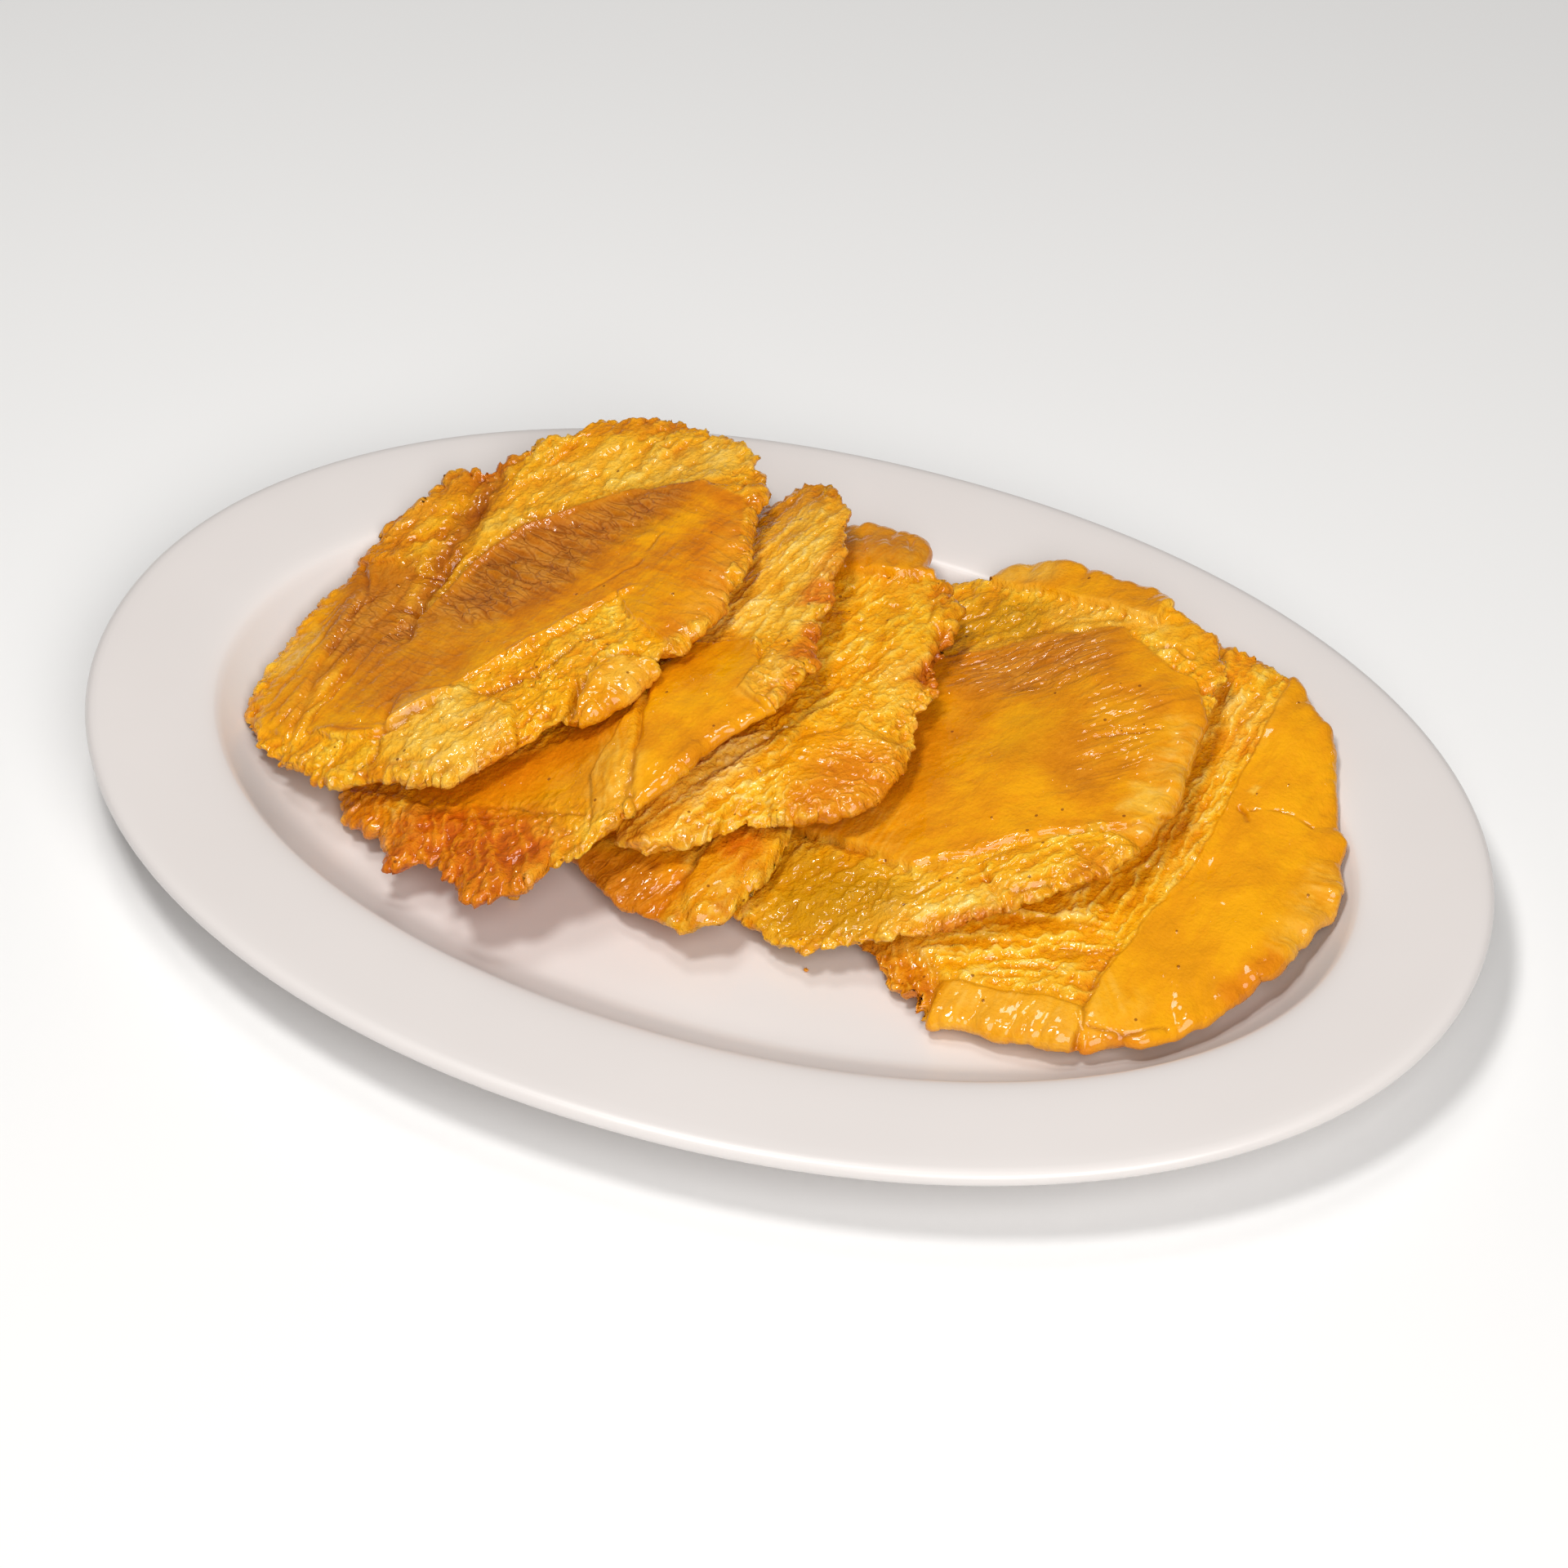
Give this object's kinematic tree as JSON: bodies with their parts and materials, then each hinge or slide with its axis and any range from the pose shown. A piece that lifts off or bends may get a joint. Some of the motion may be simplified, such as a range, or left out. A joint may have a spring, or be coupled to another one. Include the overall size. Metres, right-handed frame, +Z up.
{
  "type": "plated tostones",
  "caption": "Oval white platter of fried green plantain patties, flat and golden, leaning on one another in an overlapping row.",
  "frame": {"origin": "middle of the platter's oval, on the table under the foot ring", "axes": "+X along the platter's long side towards the end where the row of patties is lowest, +Z up"},
  "size_m": [0.33, 0.224, 0.048],
  "materials": {
    "glazed_white": "glossy white glaze",
    "tostone_1_crust": "oily browned golden crust",
    "tostone_2_crust": "oily golden crust",
    "tostone_3_crust": "oily golden crust",
    "tostone_4_crust": "oily orange crust",
    "tostone_5_crust": "oily golden crust",
    "tostone_6_crust": "oily golden crust"
  },
  "bodies": {
    "root": {"plate": "glazed_white", "tostone_1": "tostone_1_crust", "tostone_2": "tostone_2_crust", "tostone_3": "tostone_3_crust", "tostone_4": "tostone_4_crust", "tostone_5": "tostone_5_crust", "tostone_6": "tostone_6_crust"}
  },
  "joints": []
}
